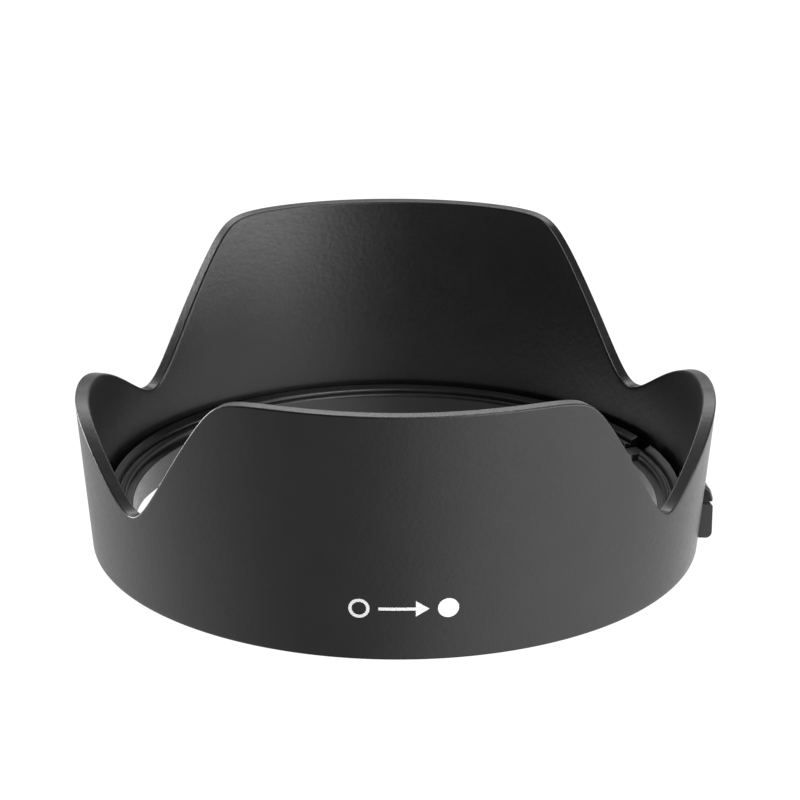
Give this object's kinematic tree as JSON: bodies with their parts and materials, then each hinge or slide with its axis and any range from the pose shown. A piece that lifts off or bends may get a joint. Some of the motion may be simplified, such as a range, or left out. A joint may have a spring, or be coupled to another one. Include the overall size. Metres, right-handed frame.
{
  "type": "lens hood",
  "caption": "Petal-shaped camera lens hood with a twist-on bayonet ring and a sprung release button that frees a latch tooth.",
  "frame": {"origin": "on the optical axis, in the plane of the mount end that the hood stands on", "axes": "+Z along the optical axis towards the subject, long petals at +Y and -Y, release button at +X"},
  "size_m": [0.1026, 0.1054, 0.0404],
  "materials": {
    "shell_plastic": "fine spark-eroded matt black",
    "ring_plastic": "satin black moulding",
    "button_plastic": "satin black moulding",
    "lever_plastic": "smooth black acetal",
    "steel": "plain steel",
    "mark_ink": "white pad-printed ink"
  },
  "bodies": {
    "hood": {"hood_shell": "shell_plastic", "bayonet_ring": "ring_plastic", "ring_screw_1": "steel", "ring_screw_2": "steel", "ring_screw_3": "steel", "ring_screw_4": "steel", "pivot_pin": "steel", "latch_spring": "steel"},
    "latch": {"latch_lever": "lever_plastic", "release_button": "button_plastic"}
  },
  "joints": [
    {"name": "button_press", "type": "hinge", "parent": "hood", "child": "latch", "pos_m": [0.04424, 0.01103, 0.0043], "axis": [0, 0, -1], "range_deg": [0, 5], "stiffness_Nm_per_rad": 0.02, "springref_deg": -11.46, "deforming": ["latch_spring"]}
  ]
}
